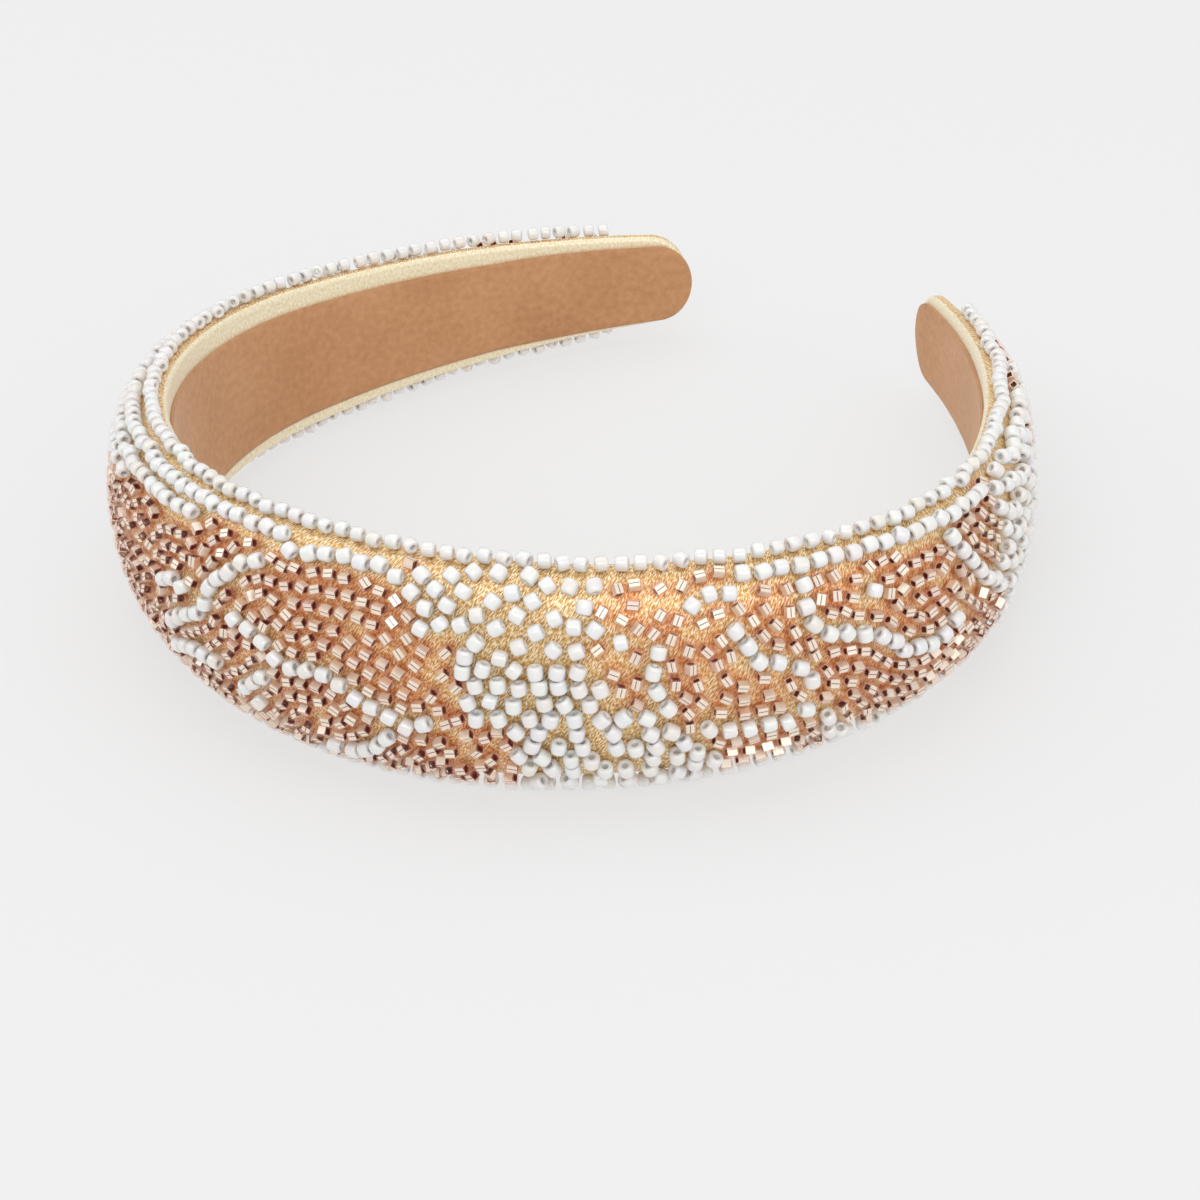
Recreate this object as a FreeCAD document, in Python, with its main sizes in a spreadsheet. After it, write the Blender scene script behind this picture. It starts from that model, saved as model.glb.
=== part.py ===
import FreeCAD, Part
import math
import os
import random
import Sketcher

# Padded, beaded headband, lying on its long lower edge.
# The band is laid out in its own frame first: the inner face of the lining passes through (0, 0),
# runs to +X and -X and curls toward +Y; Z is the width of the band, with the middle plane at Z = 0.
# Every piece then gets the same Placement, which leans the band onto its lower edge on Z = 0.

doc = FreeCAD.newDocument("headband")
V = FreeCAD.Vector

# ------------------------------------------------------------------ driving dimensions
sheet = doc.addObject("Spreadsheet::Sheet", "sizes")
SIZES = [
    # plan of the inner face: four tangent arcs on each side of the front centre
    ("front_radius", 72.0), ("shoulder_radius", 62.0), ("side_radius", 50.0), ("tail_radius", 117.0),
    ("front_angle", 31.3), ("shoulder_angle", 37.4), ("side_angle", 37.3), ("tail_angle", 36.3),
    # half width of the covered band at five equally spaced stations, front centre to tip
    ("half_width_a", 18.0), ("half_width_b", 16.7), ("half_width_c", 14.3), ("half_width_d", 11.6),
    ("half_width_e", 8.0),
    # height of the padding over the core at the same stations
    ("crown_a", 8.0), ("crown_b", 7.7), ("crown_c", 5.8), ("crown_d", 4.2), ("crown_e", 1.9),
    # gold rim left showing beside the lining, on average, and how far the lining sits below the middle
    ("rim_front", 2.2), ("rim_side", 2.65), ("rim_tip", 0.75), ("lining_drop", 0.5),
    # layers, from the head outward
    ("lining_thick", 0.6), ("satin_thick", 0.35), ("core_thick", 1.2), ("tape_thick", 0.12),
    ("hem_depth", 7.0), ("edge_round", 0.9),
    # how far the strips stop before the tip of the cover; the lining runs a little past it
    ("core_short", 1.0), ("tape_short", 6.0), ("adhesive_short", 4.4), ("lining_short", -0.6),
    # core strip
    ("core_front_half", 16.0), ("core_tip_half", 6.6),
    # beads
    ("pearl_diameter", 2.55), ("pearl_length", 2.1), ("pearl_bore", 0.95),
    ("rose_diameter", 2.05), ("rose_length", 1.85), ("rose_bore", 0.85),
    ("rim_bead_diameter", 2.4), ("rim_bead_length", 1.9),
    # lean of the whole band on its lower edge, degrees
    ("lean", 3.6),
]
for row, (alias, value) in enumerate(SIZES, start=1):
    sheet.set("A%d" % row, alias.replace("_", " "))
    sheet.set("B%d" % row, str(value))
    sheet.setAlias("B%d" % row, alias)
doc.recompute()


def size(alias):
    return float(getattr(sheet, alias))


RADII = [size(n) for n in ("front_radius", "shoulder_radius", "side_radius", "tail_radius")]
SWEEPS = [math.radians(size(n)) for n in ("front_angle", "shoulder_angle", "side_angle", "tail_angle")]
HALF_LENGTH = sum(r * a for r, a in zip(RADII, SWEEPS))
CORE_BACK = size("lining_thick") + size("satin_thick")
CORE_FRONT = CORE_BACK + size("core_thick")


# ------------------------------------------------------------------ the band's own coordinates
def smooth(values, u):
    """Monotone cubic through five equally spaced values, u from 0 to 1."""
    last = len(values) - 1
    steps = [values[i + 1] - values[i] for i in range(last)]
    slopes = [0.0]
    for i in range(1, last):
        product = steps[i - 1] * steps[i]
        slopes.append(2.0 * product / (steps[i - 1] + steps[i]) if product > 0 else 0.0)
    slopes.append(steps[-1])
    k = min(int(u * last), last - 1)
    t = u * last - k
    return (values[k] * (1 + 2 * t) * (1 - t) ** 2 + slopes[k] * t * (1 - t) ** 2
            + values[k + 1] * t * t * (3 - 2 * t) + slopes[k + 1] * t * t * (t - 1))


WIDTHS = [size("half_width_" + c) for c in "abcde"]
CROWNS = [size("crown_" + c) for c in "abcde"]


def half_width(s):
    return smooth(WIDTHS, min(abs(s) / HALF_LENGTH, 1.0))


def crown(s):
    return smooth(CROWNS, min(abs(s) / HALF_LENGTH, 1.0))


def path(s):
    """Point and heading of the inner face at arc length s from the front centre."""
    x, y, heading, left = 0.0, 0.0, 0.0, abs(s)
    for radius, sweep in zip(RADII, SWEEPS):
        turn = min(left / radius, sweep)
        x += radius * (math.sin(heading + turn) - math.sin(heading))
        y += radius * (math.cos(heading) - math.cos(heading + turn))
        heading += turn
        left -= radius * turn
        if left <= 1e-9:
            break
    x += left * math.cos(heading)
    y += left * math.sin(heading)
    if s < 0:
        return -x, y, -heading
    return x, y, heading


def axes(s):
    """Local frame at s: origin on the inner face, along the band, outward, across the band."""
    x, y, heading = path(s)
    along = V(math.cos(heading), math.sin(heading), 0)
    outward = V(math.sin(heading), -math.cos(heading), 0)
    return V(x, y, 0), along, outward, V(0, 0, 1)


def place(s, n, z):
    origin, along, outward, up = axes(s)
    return origin + outward * n + up * z


# ------------------------------------------------------------------ ribbons swept along the plan arcs
def origin_plane(body, role):
    return next(f for f in body.Origin.OriginFeatures if f.Role == role)


def bind(sketch, index, expression):
    sketch.setExpression("Constraints[%d]" % index, expression)


def spine_sketch(body, name, short):
    """Right half of the inner face: four tangent arcs in the XY plane, ending short of the tip."""
    sketch = body.newObject("Sketcher::SketchObject", name)
    sketch.AttachmentSupport = [(origin_plane(body, "XY_Plane"), "")]
    sketch.MapMode = "FlatFace"
    x, y, heading = 0.0, 0.0, 0.0
    names = ("front", "shoulder", "side", "tail")
    sweeps = SWEEPS[:3] + [SWEEPS[3] - size(short) / RADII[3]]
    for i, (radius, sweep) in enumerate(zip(RADII, sweeps)):
        cx = x - radius * math.sin(heading)
        cy = y + radius * math.cos(heading)
        circle = Part.Circle(V(cx, cy, 0), V(0, 0, 1), radius)
        start = heading - math.pi / 2
        sketch.addGeometry(Part.ArcOfCircle(circle, start, start + sweep), False)
        heading += sweep
        x = cx + radius * math.sin(heading)
        y = cy - radius * math.cos(heading)
        if i:
            sketch.addConstraint(Sketcher.Constraint("Tangent", i - 1, 2, i, 1))
        bind(sketch, sketch.addConstraint(Sketcher.Constraint("Radius", i, radius)),
             "sizes.%s_radius * 1 mm" % names[i])
        angle = "sizes.%s_angle * 1 deg" % names[i]
        if i == 3:
            angle += " - sizes.%s / sizes.tail_radius * 180 / pi * 1 deg" % short
        bind(sketch, sketch.addConstraint(Sketcher.Constraint("Angle", i, sweep)), angle)
    sketch.addConstraint(Sketcher.Constraint("Coincident", 0, 1, -1, 1))
    sketch.addConstraint(Sketcher.Constraint("PointOnObject", 0, 3, -2))
    return sketch


def box_outline(sketch, x0, x1, y0, y1):
    """Closed rectangle; returns the four line indices, bottom, right, top, left."""
    corners = [V(x0, y0, 0), V(x1, y0, 0), V(x1, y1, 0), V(x0, y1, 0)]
    for i in range(4):
        sketch.addGeometry(Part.LineSegment(corners[i], corners[(i + 1) % 4]), False)
    for i in range(4):
        sketch.addConstraint(Sketcher.Constraint("Coincident", i, 2, (i + 1) % 4, 1))
    for i, kind in enumerate(("Horizontal", "Vertical", "Horizontal", "Vertical")):
        sketch.addConstraint(Sketcher.Constraint(kind, i))
    return range(4)


def ribbon(name, short, inner, outer, front_half, mid_half, tip_half, corner=None):
    """Strip bent along the plan arcs. short: how far it stops before the tip; inner, outer: its
    distances from the inner face; the half widths give its tapering edge; corner rounds its ends."""
    body = doc.addObject("PartDesign::Body", name)
    spine = spine_sketch(body, name + "_spine", short)
    n0, n1 = evaluate(inner), evaluate(outer)
    tall = size("half_width_a") + 2
    section = body.newObject("Sketcher::SketchObject", name + "_section")
    section.AttachmentSupport = [(origin_plane(body, "YZ_Plane"), "")]
    section.MapMode = "FlatFace"
    box_outline(section, -n1, -n0, -tall, tall)
    bind(section, section.addConstraint(Sketcher.Constraint("DistanceX", 0, 2, -1, 1, n0)), inner)
    bind(section, section.addConstraint(Sketcher.Constraint("DistanceX", 0, 1, -1, 1, n1)), outer)
    bind(section, section.addConstraint(Sketcher.Constraint("DistanceY", 0, 2, -1, 1, tall)),
         "(sizes.half_width_a + 2) * 1 mm")
    bind(section, section.addConstraint(Sketcher.Constraint("DistanceY", -1, 1, 1, 2, tall)),
         "(sizes.half_width_a + 2) * 1 mm")
    doc.recompute()
    sweep = body.newObject("PartDesign::AdditivePipe", name + "_sweep")
    sweep.Profile = section
    sweep.Spine = (spine, [])
    doc.recompute()
    mirror = body.newObject("PartDesign::Mirrored", name + "_other_half")
    mirror.Originals = [sweep]
    mirror.MirrorPlane = (origin_plane(body, "YZ_Plane"), [""])
    body.Tip = mirror
    doc.recompute()
    taper_cut(body, name + "_taper", front_half, mid_half, tip_half, tall)
    if corner:
        round_tips(body, name + "_tip_round", corner, size(short))
    return body


def evaluate(expression):
    """Value in mm of one of the size expressions used here."""
    return float(doc.sizes.evalExpression(expression).Value)


def taper_cut(body, name, front_half, mid_half, tip_half, tall):
    """Cuts everything outside the tapering edges: an arc in side view through three half widths."""
    depth = path(HALF_LENGTH)[1]
    y_front, y_mid, y_tip, top = -12.0, depth / 2, depth + 2, tall + 1
    halves = [evaluate(text) for text in (front_half, mid_half, tip_half)]
    a, b, c = V(y_front, halves[0], 0), V(y_mid, halves[1], 0), V(y_tip, halves[2], 0)
    d, e = V(y_tip, top, 0), V(y_front, top, 0)
    sketch = body.newObject("Sketcher::SketchObject", name + "_line")
    sketch.AttachmentSupport = [(origin_plane(body, "YZ_Plane"), "")]
    sketch.MapMode = "FlatFace"
    bulges_out = (b.x - a.x) * (c.y - a.y) < (b.y - a.y) * (c.x - a.x)
    arc = Part.Arc(c, b, a) if bulges_out else Part.Arc(a, b, c)
    first, last = (2, 1) if bulges_out else (1, 2)
    sketch.addGeometry(arc, False)
    sketch.addGeometry(Part.LineSegment(c, d), False)
    sketch.addGeometry(Part.LineSegment(d, e), False)
    sketch.addGeometry(Part.LineSegment(e, a), False)
    sketch.addGeometry(Part.Point(b), True)
    for i, j, k, m in ((0, last, 1, 1), (1, 2, 2, 1), (2, 2, 3, 1), (3, 2, 0, first)):
        sketch.addConstraint(Sketcher.Constraint("Coincident", i, j, k, m))
    for kind, i in (("Vertical", 1), ("Horizontal", 2), ("Vertical", 3)):
        sketch.addConstraint(Sketcher.Constraint(kind, i))
    sketch.addConstraint(Sketcher.Constraint("PointOnObject", 4, 1, 0))
    sketch.addConstraint(Sketcher.Constraint("DistanceX", 3, 1, -1, 1, -y_front))
    sketch.addConstraint(Sketcher.Constraint("DistanceX", -1, 1, 1, 1, y_tip))
    sketch.addConstraint(Sketcher.Constraint("DistanceX", -1, 1, 4, 1, y_mid))
    sketch.addConstraint(Sketcher.Constraint("DistanceY", -1, 1, 1, 2, top))
    for geometry, point, value, text in ((3, 2, halves[0], front_half), (4, 1, halves[1], mid_half),
                                         (1, 1, halves[2], tip_half)):
        index = sketch.addConstraint(Sketcher.Constraint("DistanceY", -1, 1, geometry, point, value))
        bind(sketch, index, text)
    doc.recompute()
    cut = body.newObject("PartDesign::Pocket", name)
    cut.Profile = sketch
    cut.Type = "ThroughAll"
    cut.Midplane = True
    body.Tip = cut
    doc.recompute()
    mirror = body.newObject("PartDesign::Mirrored", name + "_below")
    mirror.Originals = [cut]
    mirror.MirrorPlane = (origin_plane(body, "XY_Plane"), [""])
    body.Tip = mirror
    doc.recompute()


def round_tips(body, name, corner, short):
    """Fillets the corners of both end faces: the short edges that cross the strip's thickness."""
    last = body.Tip
    tips = [place(sign * (HALF_LENGTH - short), 0, 0) for sign in (-1, 1)]
    found = []
    for number, edge in enumerate(last.Shape.Edges, start=1):
        if len(edge.Vertexes) != 2 or edge.Length > 2.5:
            continue
        middle = (edge.Vertexes[0].Point + edge.Vertexes[1].Point) * 0.5
        flat = V(middle.x, middle.y, 0)
        level = abs(edge.Vertexes[0].Z - edge.Vertexes[1].Z) < 0.5 * edge.Length
        if level and min((flat - tip).Length for tip in tips) < 2.5:
            found.append("Edge%d" % number)
    fillet = body.newObject("PartDesign::Fillet", name)
    fillet.Base = (last, found)
    fillet.Radius = evaluate(corner)
    fillet.setExpression("Radius", corner)
    body.Tip = fillet
    doc.recompute()


def core_band():
    """Sprung plastic strip that gives the band its grip."""
    return ribbon("core_band", "core_short", "(sizes.lining_thick + sizes.satin_thick) * 1 mm",
                  "(sizes.lining_thick + sizes.satin_thick + sizes.core_thick) * 1 mm",
                  "sizes.core_front_half * 1 mm",
                  "((sizes.core_front_half + sizes.core_tip_half) / 2 + 0.5) * 1 mm",
                  "sizes.core_tip_half * 1 mm", "(sizes.core_tip_half - 0.9) * 1 mm")


def suede_lining():
    """Soft ribbon facing the head, narrower than the band so that a gold rim shows."""
    body = ribbon("suede_lining", "lining_short", "0 mm", "sizes.lining_thick * 1 mm",
                  "(sizes.half_width_a - sizes.rim_front) * 1 mm",
                  "(sizes.half_width_c + 0.5 * (sizes.half_width_d - sizes.half_width_c) * 0.5"
                  " - sizes.rim_side) * 1 mm",
                  "(sizes.half_width_e - sizes.rim_tip) * 1 mm",
                  "(sizes.half_width_e - sizes.rim_tip - 1.0) * 1 mm")
    body.Placement = FreeCAD.Placement(V(0, 0, -size("lining_drop")), FreeCAD.Rotation())
    return body


def lining_adhesive():
    """Sheet of adhesive that fills the window between the turned-in hems."""
    return ribbon("lining_adhesive", "adhesive_short", "(sizes.lining_thick + 0.02) * 1 mm",
                  "(sizes.lining_thick + sizes.satin_thick - 0.02) * 1 mm",
                  "(sizes.half_width_a - sizes.hem_depth - 0.9) * 1 mm",
                  "(sizes.half_width_c - 1.9 - sizes.hem_depth) * 1 mm",
                  "1.5 mm")


def foam_tape():
    """Thin double-sided tape that holds the foam on the core."""
    core_front = "sizes.lining_thick + sizes.satin_thick + sizes.core_thick"
    return ribbon("foam_tape", "tape_short", "(%s) * 1 mm" % core_front,
                  "(%s + sizes.tape_thick) * 1 mm" % core_front,
                  "(sizes.core_front_half - 1.5) * 1 mm",
                  "((sizes.core_front_half + sizes.core_tip_half) / 2 - 1.0) * 1 mm",
                  "(sizes.core_tip_half - 1.5) * 1 mm")


# ------------------------------------------------------------------ padding and cover: lofted D sections
STATIONS = 25


def d_section(s, back, inset):
    """D outline at s: flat back at distance back, rounded corners, half ellipse in front."""
    round_ = max(size("edge_round") - inset, 0.2)
    wide = half_width(s) - inset
    deep = crown(s) + size("satin_thick") - inset
    front = max(CORE_FRONT, back + round_ + 0.1)
    origin, along, outward, up = axes(s)

    def at(n, z):
        return origin + outward * n + up * z

    edges = [Part.makeLine(at(back, -wide + round_), at(back, wide - round_))]
    half = round_ * math.sqrt(0.5)
    edges.append(Part.Arc(at(back, wide - round_), at(back + round_ - half, wide - round_ + half),
                          at(back + round_, wide)).toShape())
    edges.append(Part.makeLine(at(back + round_, wide), at(front, wide)))
    ellipse = Part.Ellipse(at(front, wide), at(front + deep, 0), at(front, 0))
    edges.append(Part.ArcOfEllipse(ellipse, 0, math.pi / 2).toShape())
    edges.append(Part.ArcOfEllipse(ellipse, math.pi / 2, math.pi).toShape())
    edges.append(Part.makeLine(at(front, -wide), at(back + round_, -wide)))
    edges.append(Part.Arc(at(back + round_, -wide), at(back + round_ - half, -wide + round_ - half),
                          at(back, -wide + round_)).toShape())
    return Part.Wire(edges)


def half_ellipse_section(s, back, inset):
    """Half ellipse standing on a flat back, for the foam and the backing behind the satin."""
    wide = half_width(s) - inset
    deep = crown(s) + size("satin_thick") - inset - (back - CORE_FRONT)
    ellipse = Part.Ellipse(place(s, back, wide), place(s, back + deep, 0), place(s, back, 0))
    return Part.Wire([Part.ArcOfEllipse(ellipse, 0, math.pi / 2).toShape(),
                      Part.ArcOfEllipse(ellipse, math.pi / 2, math.pi).toShape(),
                      Part.makeLine(place(s, back, -wide), place(s, back, wide))])


def lofted(section, back, inset):
    """Solid through the sections, from tip to tip, with both tips rounded in side view."""
    reach = HALF_LENGTH - inset
    stops = [reach * (2.0 * i / (STATIONS - 1) - 1.0) for i in range(STATIONS)]
    solid = Part.makeLoft([section(s, back, inset) for s in stops], True, False)
    for sign in (-1, 1):
        solid = solid.cut(tip_cutter(sign, inset))
    return solid


def tip_cutter(sign, inset):
    """What lies outside the rounded end of the band: a block with a half-elliptical notch."""
    reach = HALF_LENGTH - inset
    length = 6.5 - inset
    s_start = reach - length
    wide = half_width(s_start) - inset
    base = place(sign * s_start, -3, 0)
    along, outward, up = axes(sign * reach)[1:]
    along = along * sign
    block = Part.Face(Part.makePolygon([base + up * -15, base + up * 15, base + up * 15 + along * 12,
                                        base + up * -15 + along * 12, base + up * -15]))
    ellipse = Part.Ellipse(base + up * wide, base + along * length, base)
    notch = Part.Face(Part.Wire([ellipse.toShape()]))
    return block.cut(notch).extrude(outward * 20)


def feature(name, shape):
    obj = doc.addObject("Part::Feature", name)
    obj.Label = name
    obj.Shape = shape
    return obj


def foam_pad():
    """Sponge crown over the core."""
    back = CORE_FRONT + size("tape_thick") + 0.01
    return feature("foam_pad", lofted(half_ellipse_section, back, size("satin_thick") + 0.24))


def embroidery_backing():
    """Thin sheet behind the satin that carries the bead stitches."""
    outer = lofted(half_ellipse_section, CORE_FRONT + 0.05, size("satin_thick") + 0.02)
    inner = lofted(half_ellipse_section, CORE_FRONT, size("satin_thick") + 0.22)
    return feature("embroidery_backing", outer.cut(inner))


def hem_window():
    """Opening at the back of the cover between its two turned-in hems."""
    wires = []
    for i in range(STATIONS):
        s = (HALF_LENGTH - 4.0) * (2.0 * i / (STATIONS - 1) - 1.0)
        wide = max(half_width(s) - size("hem_depth"), 1.8)
        wires.append(Part.makePolygon([place(s, n, z) for n, z in
                                       ((0, -wide), (0, wide), (1.2, wide), (1.2, -wide), (0, -wide))]))
    return Part.makeLoft(wires, True, False)


def satin_cover():
    """Gold satin wrapped over the foam and round both edges, hems turned in on the back."""
    outer = lofted(d_section, size("lining_thick"), 0.0)
    inner = lofted(d_section, CORE_BACK, size("satin_thick"))
    return feature("satin_cover", outer.cut(inner).cut(hem_window()))


# ------------------------------------------------------------------ beads sewn on the cover
def skin(s, q):
    """Point, unit vectors along and across, and normal on the satin; q is the distance from the
    crown line measured round the section."""
    wide, deep = half_width(s), crown(s) + size("satin_thick")
    step, angle, run = 0.04, 0.0, 0.0
    target = abs(q)
    while angle < math.pi / 2:
        rate = math.hypot(deep * math.sin(angle + step / 2), wide * math.cos(angle + step / 2))
        if run + rate * step > target:
            angle += (target - run) / rate
            break
        run += rate * step
        angle += step
    angle = math.copysign(min(angle, math.pi / 2), q)
    n_out, z_out = math.cos(angle) / deep, math.sin(angle) / wide
    scale = math.hypot(n_out, z_out)
    n_out, z_out = n_out / scale, z_out / scale
    origin, along, outward, up = axes(s)
    point = origin + outward * (CORE_FRONT + deep * math.cos(angle)) + up * (wide * math.sin(angle))
    return point, along, up * n_out - outward * z_out, outward * n_out + up * z_out


def quarter(s):
    """Distance from the crown line to the edge of the band, round the section."""
    wide, deep = half_width(s), crown(s) + size("satin_thick")
    steps = 24
    return sum(math.hypot(deep * math.sin(a), wide * math.cos(a)) * math.pi / 2 / steps
               for a in ((i + 0.5) * math.pi / 2 / steps for i in range(steps)))


KINDS = {
    "pearl": (size("pearl_diameter"), size("pearl_length"), size("pearl_bore")),
    "rose": (size("rose_diameter"), size("rose_length"), size("rose_bore")),
    "rim": (size("rim_bead_diameter"), size("rim_bead_length"), size("rose_bore")),
}

BEAD_END = HALF_LENGTH - 13.5
SEAT = 0.07
# distance of the two rim rows from the edges of the band, and of all other beads at least
UPPER_RIM, LOWER_RIM, GROUND_EDGE = 0.7, 1.7, 2.7

# Rows of pearl beads drawn on the satin, as (s, q) points: s along the band from the front
# centre, q round the section from the crown line, up positive. EDGE_ROWS follow the upper edge:
# distance from it, first s, last s.
LEFT_SCROLLS = [
    [(-8.5, 17.5), (-4.5, 16.6), (2.5, 17.2), (8, 17.3), (13.5, 16), (17.5, 13), (21, 10)],
    [(-7.5, 14), (-13, 10.5), (-15, 8), (-17, 5), (-18, 2), (-23, -1), (-26, -3.5)],
    [(-28, 3), (-24, 4), (-20, 3)],
    [(-12, 4), (-7.5, 2.5), (-5, 0.5), (-3, -1), (3, -0.3), (7, -2), (12, -4.5), (15, -6), (17.5, -5)],
    [(12.5, -8), (10.5, -10.5), (6, -13.5), (1, -14.5)],
    [(-6.5, -3.5), (-9, -6), (-11, -8), (-9, -11)],
    [(-16, -6), (-21, -6.5), (-27, -8)],
]
RIGHT_SCROLLS = [
    [(41.2, 9.8), (43.6, 8.7)],
    [(46.7, 8.6), (46.5, 4), (47, 0.6), (48.4, -1.8)],
    [(50.8, 12.3), (53.7, 14), (57, 13.8)],
    [(56.2, 10.2), (57.5, 7.2), (59.5, 4.2), (62, 3)],
    [(64.4, 2.4), (65.6, -0.2), (67, -3)],
    [(52, -4.7), (55, -6.6), (60, -7), (63.6, -7), (67, -6.3)],
    [(66.2, 14.2), (66.5, 11.7), (66.3, 8.8), (68, 6), (73.3, 3.6), (76.2, 2.3), (80, -1.5),
     (84, -3), (88, -2.4), (92, -0.4)],
    [(68.5, 16.3), (75, 16), (78, 14.4), (79.5, 12.3), (83, 12.7), (90, 12.3), (91.5, 10),
     (94.3, 5.5), (98.5, 1), (101.5, -2)],
    [(77, 10.4), (75.6, 7.2)],
    [(68, -8), (70, -11), (72, -14)],
]
CENTRE_ROWS = [
    [(19.5, 12.2), (22, 15), (24.6, 17.4)],
    [(21, 9.8), (25.3, 12.9), (28.8, 15.4), (31, 17.4)],
    [(23.5, 7.4), (25.2, 9.7), (28.4, 12), (30.8, 13.3), (33.4, 17)],
    [(26.4, 7.2), (28.8, 7.5), (31.3, 9.8), (35, 13), (36.4, 17)],
    [(33.4, 7.6), (35.4, 10.4), (37.6, 12.4), (39.4, 16.8)],
]
FIELD_ROWS = [[(20, 4.4 - 2.45 * k), (30, 5.2 - 2.45 * k), (43, 4.6 - 2.4 * k), (57, 3.6 - 2.3 * k)]
              for k in range(8)]
EDGE_ROWS = [(3.35, -112, -3), (5.95, -112, -20), (8.5, -112, -44), (3.4, 58, 104)]
SIDE_SWIRLS = [
    [(130, 9), (134, 10.5), (139, 8.5), (141, 4), (137, 0)],
    [(129, 2), (131, -4), (137, -7), (143, -5)],
    [(151, 6), (156, 3), (161, 5), (166, 1)],
    [(150, -4), (156, -5.5), (163, -4)],
]


def mirrored(rows, about):
    """The same rows laid out in the other direction, about a given s."""
    return [[(2 * about - s, q) for s, q in row] for row in rows]


DRAWN_ROWS = LEFT_SCROLLS + RIGHT_SCROLLS + mirrored(RIGHT_SCROLLS, -9.0) + CENTRE_ROWS
DRAWN_ROWS += SIDE_SWIRLS + mirrored(SIDE_SWIRLS, 0.0)


def field_span(q):
    """Where the pearl field at the front starts and ends, at height q."""
    if q > 9:
        return 16.0, 40.0
    if q > 0:
        return 22.0, 39.5
    if q > -4:
        return 22.0, 39.5 - 2.1 * q
    return 28.0, 45.3 - 0.65 * q


def ramp(value, start, end):
    """0 up to start, 1 from end on, and straight in between."""
    return min(max((value - start) / (end - start), 0.0), 1.0)


def pearl_zone(s, q):
    """True where the ground between the drawn rows is filled with pearl beads."""
    from_edge = quarter(s) - q
    if -60 < s < 12:
        return from_edge < (3.8 if s > -24 else 6.5)
    if 12 <= s < 64:
        first, last = field_span(q)
        return first < s < last
    if s >= 64:
        return 101.0 + 0.35 * abs(q - 2) < s < 127.5 + 0.3 * q or 145.0 < s < 152.0
    return -146.0 < s < -119.0 or s < -166.0


class Strewn:
    """Beads already sewn on, with the test that keeps the next one clear of them."""

    CELL = 3.2

    def __init__(self):
        self.cells = {}
        self.groups = {}

    def key(self, centre):
        return tuple(int(math.floor(c / self.CELL)) for c in centre)

    def clear(self, footprint):
        i, j, k = self.key(footprint[0])
        near = [(i + a, j + b, k + c) for a in (-1, 0, 1) for b in (-1, 0, 1) for c in (-1, 0, 1)]
        return not any(touching(footprint, other) for key in near for other in self.cells.get(key, ()))

    def sew(self, group, kind, s, q, turn, room):
        """Adds a bead unless it would touch another one or run past the edge of the cover."""
        wide, long_ = KINDS[kind][:2]
        margin = 0.0 if kind == "rim" else GROUND_EDGE
        if abs(q) > quarter(s) - margin or abs(s) > BEAD_END:
            return False
        point, along, across, normal = skin(s, q)
        axis = along * math.cos(turn) + across * math.sin(turn)
        centre = point + normal * (wide / 2 + SEAT)
        side = normal.cross(axis)
        if not self.clear((centre, axis, side, long_ / 2 + room, wide / 2 + room)):
            return False
        self.cells.setdefault(self.key(centre), []).append((centre, axis, side, long_ / 2, wide / 2))
        self.groups.setdefault(group, []).append((kind, centre, axis))
        return True


def touching(one, two):
    """Whether two beads' footprints, seen along the normal of the first, overlap."""
    offset = two[0] - one[0]
    if offset.Length > 3.8:
        return False
    u, v = one[1], one[2]
    dx, dy = offset.dot(u), offset.dot(v)
    ax, ay, bx, by = two[1].dot(u), two[1].dot(v), two[2].dot(u), two[2].dot(v)
    reach_u = one[3] + two[3] * abs(ax) + two[4] * abs(bx)
    reach_v = one[4] + two[3] * abs(ay) + two[4] * abs(by)
    if abs(dx) >= reach_u or abs(dy) >= reach_v:
        return False
    for cx, cy, reach in ((ax, ay, two[3]), (bx, by, two[4])):
        if abs(dx * cx + dy * cy) >= reach + one[3] * abs(cx) + one[4] * abs(cy):
            return False
    return True


def curve(points, step=0.25):
    """Closely spaced points on a smooth curve through the given ones."""
    ends = [tuple(2 * a - b for a, b in zip(points[0], points[1]))]
    ends += list(points)
    ends.append(tuple(2 * a - b for a, b in zip(points[-1], points[-2])))
    dense = []
    for i in range(1, len(ends) - 2):
        p, a, b, c = ends[i - 1:i + 3]
        count = max(int(math.hypot(b[0] - a[0], b[1] - a[1]) / step), 1)
        for k in range(count):
            t = k / count
            dense.append(tuple(0.5 * (2 * a[m] + (b[m] - p[m]) * t
                                      + (2 * p[m] - 5 * a[m] + 4 * b[m] - c[m]) * t * t
                                      + (3 * a[m] - p[m] - 3 * b[m] + c[m]) * t ** 3) for m in (0, 1)))
    dense.append(points[-1])
    return dense


def stretch(s, q):
    """How much longer the satin is than the inner face at the same s."""
    reach = CORE_FRONT + (crown(s) + size("satin_thick")) * max(1 - (q / quarter(s)) ** 2, 0.0)
    left = abs(s)
    for radius, sweep in zip(RADII, SWEEPS):
        if left <= radius * sweep:
            break
        left -= radius * sweep
    return 1.0 + reach / radius


def echo(dense, distance):
    """The row that runs beside another one at the given distance on the satin."""
    row = []
    for i in range(1, len(dense) - 1):
        s, q = dense[i]
        grow = stretch(s, q)
        ds, dq = (dense[i + 1][0] - dense[i - 1][0]) * grow, dense[i + 1][1] - dense[i - 1][1]
        run = math.hypot(ds, dq) or 1.0
        row.append((s - dq / run * distance / grow, q + ds / run * distance))
    return row


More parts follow.
